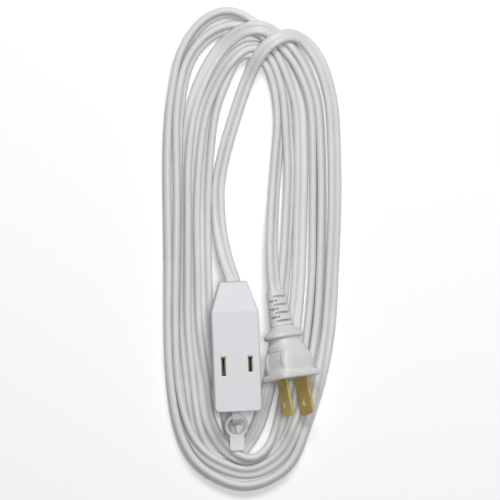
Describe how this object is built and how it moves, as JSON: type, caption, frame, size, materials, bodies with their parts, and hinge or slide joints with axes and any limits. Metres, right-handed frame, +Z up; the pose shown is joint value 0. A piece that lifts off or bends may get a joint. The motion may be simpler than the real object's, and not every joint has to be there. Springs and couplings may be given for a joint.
{
  "type": "extension cord",
  "caption": "Indoor extension cord: flat two-core cord in a flat hank, cube tap with a tether ring, and a polarised two-blade plug.",
  "frame": {"origin": "middle of the hank's footprint, on the surface that it lies on", "axes": "+Y along the hank towards the end where its turns cross, +X across it, +Z up from the surface, out of the tap's front outlet"},
  "size_m": [0.0864, 0.229, 0.0312],
  "materials": {
    "tap_shell": "white moulded, semi-gloss",
    "plug_vinyl": "white moulded vinyl, satin",
    "cord_vinyl": "white extruded vinyl, satin",
    "insert": "off-white moulded",
    "ring": "natural moulded, slightly translucent",
    "brass": "stamped, lightly tarnished",
    "copper": "bare stranded copper"
  },
  "bodies": {
    "cord_set": {"tap_front_shell": "tap_shell", "tap_rear_shell": "tap_shell", "tap_contact_neutral": "brass", "tap_contact_hot": "brass", "tap_insulation_neutral": "cord_vinyl", "tap_insulation_hot": "cord_vinyl", "tap_copper_neutral": "copper", "tap_copper_hot": "copper", "plug_body": "plug_vinyl", "plug_insert": "insert", "plug_strain_relief": "plug_vinyl", "plug_blade_hot": "brass", "plug_blade_neutral": "brass", "plug_insulation_hot": "cord_vinyl", "plug_insulation_neutral": "cord_vinyl", "plug_copper_hot": "copper", "plug_copper_neutral": "copper", "cord_coil": "cord_vinyl", "cord_lead_tap": "cord_vinyl", "cord_lead_plug": "cord_vinyl"},
    "ring": {"tether_ring": "ring"}
  },
  "joints": [
    {"name": "ring_swing", "type": "hinge", "parent": "cord_set", "child": "ring", "pos_m": [-0.00718, -0.07945, 0.01253], "axis": [-0.9979, -0.0383, 0.0523], "range_deg": [0, 96]}
  ]
}
